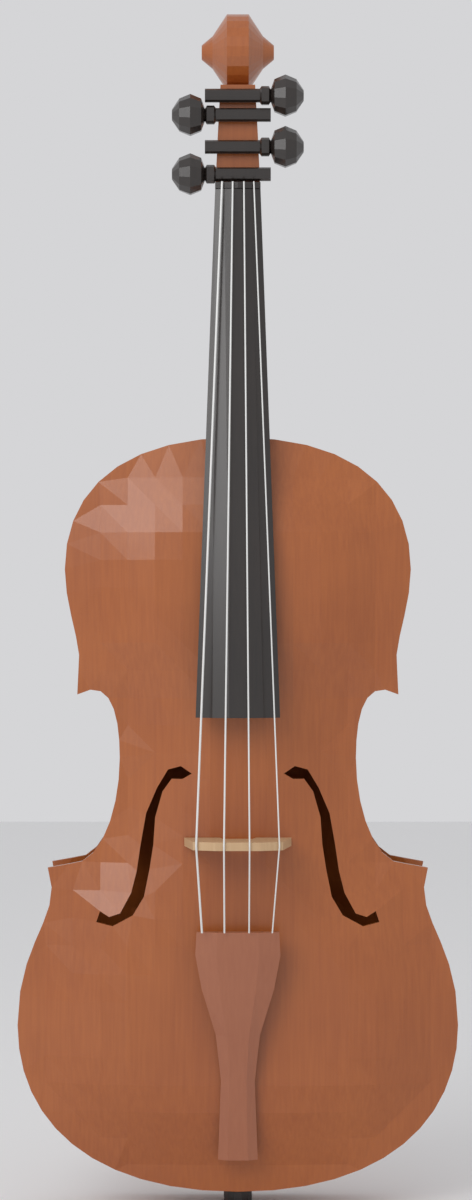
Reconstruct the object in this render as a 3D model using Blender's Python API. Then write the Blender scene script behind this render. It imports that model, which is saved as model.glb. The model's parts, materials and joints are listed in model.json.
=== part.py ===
"""Viola, standing upright with its front facing -Y. Sizes are in millimetres until a mesh is made."""
import math

import bmesh
import bpy
from mathutils import Vector
from mathutils.geometry import delaunay_2d_cdt

MM = 0.001
GAP = 0.3

# Body outline, half widths and heights above the plates' lower edge
BODY_LENGTH = 412.0
UPPER_HALF = 94.5
UPPER_AT = 340.0
WAIST_HALF = 64.5
WAIST_AT = 237.0
LOWER_HALF = 120.3
LOWER_AT = 91.0
UPPER_CORNER = ((90.6, 278.7), (87.7, 271.6))
LOWER_CORNER = ((100.4, 181.7), (103.8, 177.0))

# Body depth
RIB_HEIGHT = 38.0
RIB_WALL = 1.2
OVERHANG = 3.2
PLATE_EDGE = 4.0
PLATE_WALL = 3.2
TOP_ARCH = 14.0
BACK_ARCH = 13.0
BUTTON_REACH = 9.0

# Inner woodwork
LINING_WALL = 2.2
LINING_HEIGHT = 7.0
END_BLOCK = (25.0, 15.0)
NECK_BLOCK = (28.0, 17.0)
CORNER_REACH = 26.0

# Neck and fingerboard
NECK_FACE_AT_BODY = -31.3
NECK_SLOPE = 0.105
NUT_AT = 548.0
NUT_LENGTH = 3.4
NUT_HALF = 12.4
BOARD_END = 260.0
BOARD_END_HALF = 22.7
BOARD_EDGE = 5.5
BOARD_RADIUS = 42.0
NECK_DEPTH = 13.0

# Strings, bass to treble
STRINGS = ("c", "g", "d", "a")
STRING_RADIUS = (0.6, 0.5, 0.45, 0.4)
AT_NUT = (-8.6, -2.8, 3.3, 8.7)
AT_BRIDGE = (-22.2, -7.4, 6.2, 22.1)
AT_FRET = (-19.2, -7.2, 6.0, 18.4)
BRIDGE_AT = 190.0
BRIDGE_TOP = -75.0
BRIDGE_HALF = 29.0
BRIDGE_WALL = 4.5

# Pegs: height, side of the head, along the pegbox
PEGS = (("c", 556.0, -1), ("g", 588.4, -1), ("d", 599.0, 1), ("a", 570.9, 1))
PEG_RADIUS = 3.8

# Tailpiece
TAIL_TOP = 145.0
TAIL_LENGTH = 125.0
TAIL_HALF = 22.9


def curve(p0, h0, h1, p1, count):
    """Points of a Bezier stretch, without its last one."""
    points = []
    for i in range(count):
        t = i / count
        s = 1 - t
        points.append(tuple(s ** 3 * a + 3 * s * s * t * b + 3 * s * t * t * c + t ** 3 * d
                            for a, b, c, d in zip(p0, h0, h1, p1)))
    return points


def half_outline():
    """Right half of the body's outline, from the top centre down to the bottom centre."""
    (ux, uz), (vx, vz) = UPPER_CORNER
    (lx, lz), (mx, mz) = LOWER_CORNER
    top = curve((0, BODY_LENGTH), (63.9, BODY_LENGTH), (UPPER_HALF, UPPER_AT + 43), (UPPER_HALF, UPPER_AT), 9)
    flank = curve((UPPER_HALF, UPPER_AT), (UPPER_HALF, UPPER_AT - 26), (ux - 11, uz + 10), (ux, uz), 6)
    hook = curve((vx, vz), (vx - 18.7, vz + 10.5), (WAIST_HALF, WAIST_AT + 23), (WAIST_HALF, WAIST_AT), 7)
    waist = curve((WAIST_HALF, WAIST_AT), (WAIST_HALF, WAIST_AT - 31), (lx - 23, lz - 13), (lx, lz), 8)
    side = curve((mx, mz), (mx - 9.5, mz - 27), (LOWER_HALF, LOWER_AT + 48), (LOWER_HALF, LOWER_AT), 7)
    bottom = curve((LOWER_HALF, LOWER_AT), (LOWER_HALF, LOWER_AT - 52), (80.7, 0), (0, 0), 12)
    return top + flank + hook + waist + side + bottom + [(0, 0)]


def closed_outline():
    right = half_outline()
    return right + [(-x, z) for x, z in reversed(right[1:-1])]


def inset(loop, distance):
    """Loop drawn in by a distance, without the points that come closer to the outline than that."""
    moved = []
    count = len(loop)
    for i, (x, z) in enumerate(loop):
        ax, az = loop[i - 1]
        bx, bz = loop[(i + 1) % count]
        d1 = Vector((x - ax, z - az)).normalized()
        d2 = Vector((bx - x, bz - z)).normalized()
        n1 = Vector((d1.y, -d1.x))
        n2 = Vector((d2.y, -d2.x))
        mitre = (n1 + n2) / max(0.4, 1 + n1.dot(n2))
        point = Vector((x, z)) + mitre * distance
        if distance_to(loop, point) > distance * 0.93:
            moved.append((point.x, point.y))
    return moved


def distance_to(loop, point):
    best = 1e9
    for i in range(len(loop)):
        a = Vector(loop[i - 1])
        b = Vector(loop[i])
        t = max(0.0, min(1.0, (point - a).dot(b - a) / (b - a).length_squared))
        best = min(best, (a + (b - a) * t - point).length)
    return best


def material(name, colour, roughness, metallic=0.0):
    made = bpy.data.materials.get(name) or bpy.data.materials.new(name)
    made.use_nodes = True
    shader = made.node_tree.nodes["Principled BSDF"]
    shader.inputs["Base Color"].default_value = (*colour, 1)
    shader.inputs["Roughness"].default_value = roughness
    shader.inputs["Metallic"].default_value = metallic
    return made


VARNISH = ("varnished_wood", (0.42, 0.13, 0.03), 0.3)
PLAIN_WOOD = ("plain_wood", (0.6, 0.42, 0.24), 0.6)
EBONY = ("ebony", (0.02, 0.018, 0.016), 0.3)
REDWOOD = ("chinrest_wood", (0.25, 0.07, 0.03), 0.3)
BRIDGE_WOOD = ("bridge_wood", (0.62, 0.42, 0.22), 0.5)
STEEL = ("steel", (0.6, 0.6, 0.6), 0.3, 1.0)
STRING = ("string", (0.8, 0.8, 0.78), 0.3)
CORK = ("cork", (0.1, 0.06, 0.04), 0.8)


def solid(name, points, faces, look):
    """One closed object from points in millimetres, measured from the plates' lower edge."""
    mesh = bpy.data.meshes.new(name)
    mesh.from_pydata([(x * MM, y * MM, (z + BUTTON_REACH) * MM) for x, y, z in points], [], faces)
    work = bmesh.new()
    work.from_mesh(mesh)
    bmesh.ops.remove_doubles(work, verts=work.verts, dist=1e-6)
    bmesh.ops.recalc_face_normals(work, faces=work.faces)
    work.to_mesh(mesh)
    work.free()
    made = bpy.data.objects.new(name, mesh)
    bpy.context.scene.collection.objects.link(made)
    mesh.materials.append(material(*look))
    return made


def loft(name, rings, look):
    """Skin over rings of equal count, closed at both ends."""
    count = len(rings[0])
    points = [point for ring in rings for point in ring]
    faces = []
    for k in range(len(rings) - 1):
        for i in range(count):
            j = (i + 1) % count
            faces.append((k * count + i, k * count + j, (k + 1) * count + j, (k + 1) * count + i))
    faces.append(tuple(reversed(range(count))))
    faces.append(tuple(range((len(rings) - 1) * count, len(rings) * count)))
    return solid(name, points, faces, look)


def prism(name, loop, near, far, look):
    """Outline in X and Z, from one depth to another."""
    return loft(name, [[(x, near, z) for x, z in loop], [(x, far, z) for x, z in loop]], look)


def ring(centre, radius, axis, count=12):
    """Circle round an axis direction."""
    axis = Vector(axis).normalized()
    side = axis.orthogonal().normalized()
    other = axis.cross(side)
    middle = Vector(centre)
    return [tuple(middle + side * radius * math.cos(a) + other * radius * math.sin(a))
            for a in (2 * math.pi * i / count for i in range(count))]


def turned(name, start, axis, profile, look, count=12):
    """Turned piece: profile lists distance along the axis and radius."""
    way = Vector(axis).normalized()
    return loft(name, [ring(Vector(start) + way * d, r, way, count) for d, r in profile], look)


def arch(x, z, rise, loop):
    """Height of a plate's arching over its edge."""
    reach = min(1.0, max(0.0, (distance_to(loop, Vector((x, z))) - 5.0) / 52.0))
    return rise * math.sin(reach * math.pi / 2) ** 1.4


def f_hole(side):
    """Outline of an f-hole's stem between its eyes."""
    outer = [(-25, 229), (-31, 233), (-38, 231), (-44, 221), (-50, 207), (-53, 190), (-55, 176), (-58, 164),
             (-64, 153), (-70, 151), (-75, 154), (-78, 161), (-73, 165), (-69, 160)]
    inner = [(-65, 149), (-57, 152), (-51, 162), (-48, 177), (-46, 190), (-45, 205), (-41, 219), (-36, 226),
             (-30, 226)]
    loop = outer[:11] + [(-77, 148), (-68, 146)] + inner[1:]
    return [(x * -side, z) for x, z in loop]


def plate(name, sign, rise, holes, look):
    """Arched plate: one triangulation carries the outer and the inner face."""
    loop = closed_outline()
    flat_loop = [Vector(p) for p in loop]
    loops = [loop] + holes
    points = [Vector(p) for chain in loops for p in chain]
    edges = []
    first = 0
    for chain in loops:
        edges += [(first + i, first + (i + 1) % len(chain)) for i in range(len(chain))]
        first += len(chain)
    step = 15
    for row in range(1, int(BODY_LENGTH / step)):
        for column in range(-8, 9):
            spot = Vector((column * step, row * step))
            if inside(loop, spot) and distance_to(loop, spot) > 5:
                if all(distance_to(hole, spot) > 3 and not inside(hole, spot) for hole in holes):
                    points.append(spot)
    corners, _, faces, *_ = delaunay_2d_cdt(points, edges, [], 1, 1e-5)
    kept = []
    for face in faces:
        middle = sum((corners[i] for i in face), Vector((0, 0))) / len(face)
        if inside(loop, middle) and not any(inside(hole, middle) for hole in holes):
            kept.append(tuple(face))
    inner_y = sign * (RIB_HEIGHT / 2 + GAP)
    outer = []
    under = []
    for corner in corners:
        height = arch(corner.x, corner.y, rise, flat_loop)
        wall = PLATE_EDGE if height == 0 else PLATE_EDGE - (PLATE_EDGE - PLATE_WALL) * min(1, height / 3)
        outer.append((corner.x, inner_y + sign * (PLATE_EDGE + height), corner.y))
        under.append((corner.x, inner_y + sign * (PLATE_EDGE + height - wall), corner.y))
    total = len(corners)
    sides = {}
    for face in kept:
        for i in range(len(face)):
            key = (face[i], face[(i + 1) % len(face)])
            sides[key] = True
    walls = [(a, b, b + total, a + total) for a, b in sides if (b, a) not in sides]
    bottoms = [tuple(i + total for i in reversed(face)) for face in kept]
    return solid(name, outer + under, kept + bottoms + walls, look)


def inside(loop, point):
    hit = False
    for i in range(len(loop)):
        ax, az = loop[i - 1]
        bx, bz = loop[i]
        if (az > point.y) != (bz > point.y) and point.x < (bx - ax) * (point.y - az) / (bz - az) + ax:
            hit = not hit
    return hit


def face_at(z):
    """Depth of the neck's front face, under the fingerboard."""
    return NECK_FACE_AT_BODY + NECK_SLOPE * (z - BODY_LENGTH)


def stretch(loop, keep):
    """The run of a closed loop's points that keep() accepts, in order."""
    count = len(loop)
    start = next(i for i in range(count) if keep(loop[i]) and not keep(loop[i - 1]))
    run = []
    while keep(loop[(start + len(run)) % count]) and len(run) < count:
        run.append(loop[(start + len(run)) % count])
    return run


def strip(run, wall):
    """Closed outline of a thin strip: a run of points and the same run drawn in by the wall."""
    drawn = []
    for i, (x, z) in enumerate(run):
        a = Vector(run[max(0, i - 1)])
        b = Vector(run[min(len(run) - 1, i + 1)])
        way = (b - a).normalized()
        drawn.append((x + way.y * wall, z - way.x * wall))
    return list(run) + drawn[::-1]


def make_body():
    plate("top_plate", -1, TOP_ARCH, [f_hole(1), f_hole(-1)[::-1]], VARNISH)
    plate("back_plate", 1, BACK_ARCH, [], VARNISH)
    half = RIB_HEIGHT / 2
    loop = closed_outline()
    outer = inset(loop, OVERHANG)
    inner = inset(loop, OVERHANG + RIB_WALL + 2 * GAP)
    upper = UPPER_CORNER[0][1]
    lower = LOWER_CORNER[1][1]
    mortise = NECK_BLOCK[0] - 6
    spans = {"upper": (upper + 3, BODY_LENGTH), "waist": (lower + 12, upper - 12)}
    for side, sign in (("bass", -1), ("treble", 1)):
        for name, (low, high) in spans.items():
            least = mortise if name == "upper" else 0

            def keep(point, low=low, high=high, least=least, sign=sign):
                return low < point[1] < high and point[0] * sign > least

            prism(f"rib_{name}_{side}", strip(stretch(outer, keep), RIB_WALL), -half, half, VARNISH)
            run = stretch(inner, lambda p, k=keep, a=low, b=high: k(p) and a + 16 < p[1] < b - 9
                          and abs(p[0]) > NECK_BLOCK[0] + 2 * least / 6)
            for face, sense in (("top", -1), ("back", 1)):
                prism(f"lining_{name}_{side}_{face}", strip(run, LINING_WALL),
                      sense * half, sense * (half - LINING_HEIGHT), PLAIN_WOOD)
    prism("rib_lower", strip(stretch(outer, lambda p: p[1] < lower - 4), RIB_WALL), -half, half, VARNISH)
    for side, sign in (("bass", -1), ("treble", 1)):
        run = stretch(inner, lambda p, s=sign: p[1] < lower - 24 and p[0] * s > END_BLOCK[0] + 12)
        for face, sense in (("top", -1), ("back", 1)):
            prism(f"lining_lower_{side}_{face}", strip(run, LINING_WALL),
                  sense * half, sense * (half - LINING_HEIGHT), PLAIN_WOOD)
    depth, height = END_BLOCK
    bottom = OVERHANG + RIB_WALL + 1
    prism("end_block", [(-depth, bottom + 1), (depth, bottom + 1), (depth, bottom + height),
                        (-depth, bottom + height)], -half, half, PLAIN_WOOD)
    wide, tall = NECK_BLOCK
    crown = BODY_LENGTH - OVERHANG - RIB_WALL - 3
    prism("neck_block", [(-wide, crown - tall), (wide, crown - tall), (wide, crown - 2), (-wide, crown - 2)],
          -half, half, PLAIN_WOOD)


def make_neck():
    rings = []
    for z, width, back in ((BODY_LENGTH + GAP, 12, 18), (BODY_LENGTH + 6, 13, 18), (BODY_LENGTH + 12, 14, 4),
                           (BODY_LENGTH + 22, 15, -12), (NUT_AT - 10, 12.4, -4), (NUT_AT, 12.2, -1), (NUT_AT + 8, 12, 3),
                           (NUT_AT + 30, 11, 10), (NUT_AT + 57.7, 9.5, 17)):
        front = face_at(min(z, NUT_AT))
        rings.append([(-width, front, z), (width, front, z), (width, (front + back) / 2, z),
                      (width * 0.6, back, z), (-width * 0.6, back, z), (-width, (front + back) / 2, z)])
    loft("neck", rings, VARNISH)
    scroll = [(0, 4), (6, 9), (14, 21), (26, 21), (34, 9), (40, 4)]
    turned("scroll", (-20, 5, NUT_AT + 79), (1, 0, 0), scroll, VARNISH, 24)
    board = []
    for z, wide in ((BOARD_END, BOARD_END_HALF), (NUT_AT - GAP, NUT_HALF)):
        under = face_at(z) - GAP
        top = [(wide * t, under - BOARD_EDGE - (wide ** 2 - (wide * t) ** 2) / (2 * BOARD_RADIUS), z)
               for t in (1, 0.6, 0.2, -0.2, -0.6, -1)]
        board.append([(-wide, under, z), (wide, under, z)] + top)
    loft("fingerboard", board, EBONY)
    under = face_at(NUT_AT) - GAP
    nut = [(-NUT_HALF, under), (NUT_HALF, under), (NUT_HALF, under - BOARD_EDGE - 1), (0, under - BOARD_EDGE - 2.5),
           (-NUT_HALF, under - BOARD_EDGE - 1)]
    loft("nut", [[(x, y, z) for x, y in nut] for z in (NUT_AT, NUT_AT + NUT_LENGTH)], EBONY)


def make_pegs():
    for name, z, side in PEGS:
        profile = [(0, PEG_RADIUS), (30, PEG_RADIUS), (31, 5.2), (35, 5.2), (36, 3.5), (38, 9), (44, 11.5),
                   (50, 9), (54, 3)]
        y = face_at(NUT_AT) - PEG_RADIUS - GAP
        turned(f"peg_{name}", (-side * 18, y, z), (side, 0, 0), profile, EBONY)


def make_fittings():
    belly = -(RIB_HEIGHT / 2 + GAP + PLATE_EDGE + TOP_ARCH)
    foot = [(-BRIDGE_HALF, belly - GAP), (-10, belly - GAP), (-8, belly - 9), (8, belly - 9), (10, belly - GAP),
            (BRIDGE_HALF, belly - GAP), (BRIDGE_HALF - 5, BRIDGE_TOP + 7), (12, BRIDGE_TOP + 1.9),
            (-12, BRIDGE_TOP + 1.9), (5 - BRIDGE_HALF, BRIDGE_TOP + 7)]
    loft("bridge", [[(x, y, z) for x, y in foot] for z in (BRIDGE_AT, BRIDGE_AT + BRIDGE_WALL)], BRIDGE_WOOD)
    rings = []
    for t, wide in ((0, 0.47), (0.35, 0.4), (0.55, 0.52), (0.75, 0.85), (0.9, 1.0), (1, 0.97)):
        z = TAIL_TOP - TAIL_LENGTH * (1 - t)
        y = -33 - 17 * t
        w = TAIL_HALF * wide
        rings.append([(-w, y, z), (w, y, z), (w, y - 4, z), (w * 0.5, y - 7, z), (-w * 0.5, y - 7, z),
                      (-w, y - 4, z)])
    loft("tailpiece", rings, REDWOOD)
    half = RIB_HEIGHT / 2
    turned("end_button", (0, 0, OVERHANG - GAP), (0, 0, -1), [(0, 6), (5, 6), (6, 8), (OVERHANG - GAP
           + BUTTON_REACH, 8)], EBONY)
    turned("sound_post", (20, half - 1, BRIDGE_AT - 6), (0, -1, 0), [(0, 3), (RIB_HEIGHT + 3, 3)], PLAIN_WOOD)
    nut_y = face_at(NUT_AT) - BOARD_EDGE - 4
    for name, radius, x0, x1, x2 in zip(STRINGS, STRING_RADIUS, AT_NUT, AT_BRIDGE, AT_FRET):
        drop = abs(x1) * 0.28
        stops = [(x0, nut_y, NUT_AT + NUT_LENGTH), (x1, BRIDGE_TOP + drop - 1.5, BRIDGE_AT + BRIDGE_WALL / 2),
                 (x2, -59, TAIL_TOP)]
        loft(f"string_{name}", [ring(p, radius, (0, 0, 1), 6) for p in stops], STRING)


def main():
    for made in list(bpy.data.objects):
        bpy.data.objects.remove(made)
    make_body()
    make_neck()
    make_pegs()
    make_fittings()


main()
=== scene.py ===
import json
import math

import bpy
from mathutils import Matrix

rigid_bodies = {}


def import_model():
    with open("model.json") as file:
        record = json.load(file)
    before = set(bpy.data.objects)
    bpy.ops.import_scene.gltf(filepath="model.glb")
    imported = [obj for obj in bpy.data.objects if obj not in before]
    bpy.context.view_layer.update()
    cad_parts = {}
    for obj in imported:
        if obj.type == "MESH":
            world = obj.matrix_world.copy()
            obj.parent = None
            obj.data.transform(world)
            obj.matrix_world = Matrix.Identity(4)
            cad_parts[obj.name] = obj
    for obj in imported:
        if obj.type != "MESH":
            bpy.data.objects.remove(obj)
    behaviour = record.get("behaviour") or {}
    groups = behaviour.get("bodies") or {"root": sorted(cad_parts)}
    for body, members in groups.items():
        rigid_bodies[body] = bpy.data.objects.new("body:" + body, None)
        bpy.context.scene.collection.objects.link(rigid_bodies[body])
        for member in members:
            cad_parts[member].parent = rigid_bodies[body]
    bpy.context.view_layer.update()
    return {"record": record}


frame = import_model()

# Camera: square to the front, as far away as the photograph's perspective says
PLATE_DEPTH = -0.0233
CAMERA_DISTANCE = 1.735
IMAGE_CENTRE_HEIGHT = 0.3322
IMAGE_CENTRE_X = -0.001
LENS = 95.3


def node(tree, kind, settings=None, inputs=None):
    """One shader node with its settings, then its values or links."""
    made = tree.nodes.new(kind)
    for key, value in (settings or {}).items():
        setattr(made, key, value)
    for key, value in (inputs or {}).items():
        if isinstance(value, bpy.types.NodeSocket):
            tree.links.new(value, made.inputs[key])
        else:
            made.inputs[key].default_value = value
    return made


def wood(name, dark, light, roughness, stretch=(220, 220, 9), coat=0.4):
    """Streaked wood under varnish: fine streaks along Z and slow clouds of colour."""
    made = bpy.data.materials.new(name)
    made.use_nodes = True
    tree = made.node_tree
    shader = tree.nodes["Principled BSDF"]
    place = node(tree, "ShaderNodeTexCoord").outputs["Object"]
    along = node(tree, "ShaderNodeMapping", inputs={"Vector": place, "Scale": stretch})
    streaks = node(tree, "ShaderNodeTexNoise", inputs={"Vector": along.outputs[0], "Scale": 3.0, "Detail": 4.0})
    clouds = node(tree, "ShaderNodeTexNoise", inputs={"Vector": place, "Scale": 14.0, "Detail": 3.0})
    blend = node(tree, "ShaderNodeMath", {"operation": "MULTIPLY_ADD"},
                 {0: clouds.outputs[0], 1: 0.6, 2: -0.05})
    total = node(tree, "ShaderNodeMath", {"operation": "MULTIPLY_ADD", "use_clamp": True},
                 {0: streaks.outputs[0], 1: 0.45, 2: blend.outputs[0]})
    colour = node(tree, "ShaderNodeMix", {"data_type": "RGBA"},
                  {0: total.outputs[0], 6: (*dark, 1), 7: (*light, 1)})
    tree.links.new(colour.outputs[2], shader.inputs["Base Color"])
    bump = node(tree, "ShaderNodeBump", inputs={"Height": streaks.outputs[0], "Strength": 0.08, "Distance": 0.0003})
    tree.links.new(bump.outputs[0], shader.inputs["Normal"])
    shader.inputs["Roughness"].default_value = roughness
    shader.inputs["Coat Weight"].default_value = coat
    shader.inputs["Coat Roughness"].default_value = 0.15
    return made


FINISHES = {
    "varnished_wood": wood("varnished_wood_finish", (0.26, 0.055, 0.01), (0.5, 0.15, 0.03), 0.35),
    "plain_wood": wood("plain_wood_finish", (0.45, 0.3, 0.16), (0.68, 0.5, 0.3), 0.6, coat=0.0),
    "bridge_wood": wood("bridge_wood_finish", (0.45, 0.26, 0.12), (0.7, 0.5, 0.3), 0.5, coat=0.0),
    "tailpiece_wood": wood("tailpiece_finish", (0.3, 0.09, 0.04), (0.42, 0.15, 0.07), 0.35),
    "ebony": wood("ebony_finish", (0.008, 0.007, 0.007), (0.035, 0.025, 0.02), 0.28),
    "string": wood("string_finish", (0.7, 0.7, 0.68), (0.85, 0.85, 0.83), 0.3, coat=0.0),
}


def dress_nodes():
    """Each CAD node takes the finish of its slot."""
    for part in frame["record"]["subparts"]:
        made = bpy.data.objects[part["node"]]
        made.data.materials.clear()
        made.data.materials.append(FINISHES[part["material_slot"]])


def studio():
    """Pale floor and backdrop, soft lights and the camera."""
    floor_mesh = bpy.data.meshes.new("floor")
    floor_mesh.from_pydata([(-3, -3, 0), (3, -3, 0), (3, 3, 0), (-3, 3, 0)], [], [(0, 1, 2, 3)])
    floor = bpy.data.objects.new("floor", floor_mesh)
    bpy.context.scene.collection.objects.link(floor)
    pale = bpy.data.materials.new("pale_floor")
    pale.use_nodes = True
    pale.node_tree.nodes["Principled BSDF"].inputs["Base Color"].default_value = (0.85, 0.85, 0.85, 1)
    floor_mesh.materials.append(pale)
    world = bpy.data.worlds.new("studio")
    world.use_nodes = True
    world.node_tree.nodes["Background"].inputs[0].default_value = (0.95, 0.95, 0.97, 1)
    world.node_tree.nodes["Background"].inputs[1].default_value = 0.7
    bpy.context.scene.world = world
    lamp = bpy.data.lights.new("soft_box", "AREA")
    lamp.energy = 14
    lamp.size = 1.2
    box = bpy.data.objects.new("soft_box", lamp)
    box.location = (-0.9, -1.4, 1.3)
    box.rotation_euler = (math.radians(60), 0, math.radians(-32))
    bpy.context.scene.collection.objects.link(box)
    lens = bpy.data.cameras.new("camera")
    lens.lens = LENS
    camera = bpy.data.objects.new("camera", lens)
    camera.location = (IMAGE_CENTRE_X, PLATE_DEPTH - CAMERA_DISTANCE, IMAGE_CENTRE_HEIGHT)
    camera.rotation_euler = (math.radians(90), 0, 0)
    bpy.context.scene.collection.objects.link(camera)
    bpy.context.scene.camera = camera
    bpy.context.scene.view_settings.view_transform = "Standard"


dress_nodes()
studio()
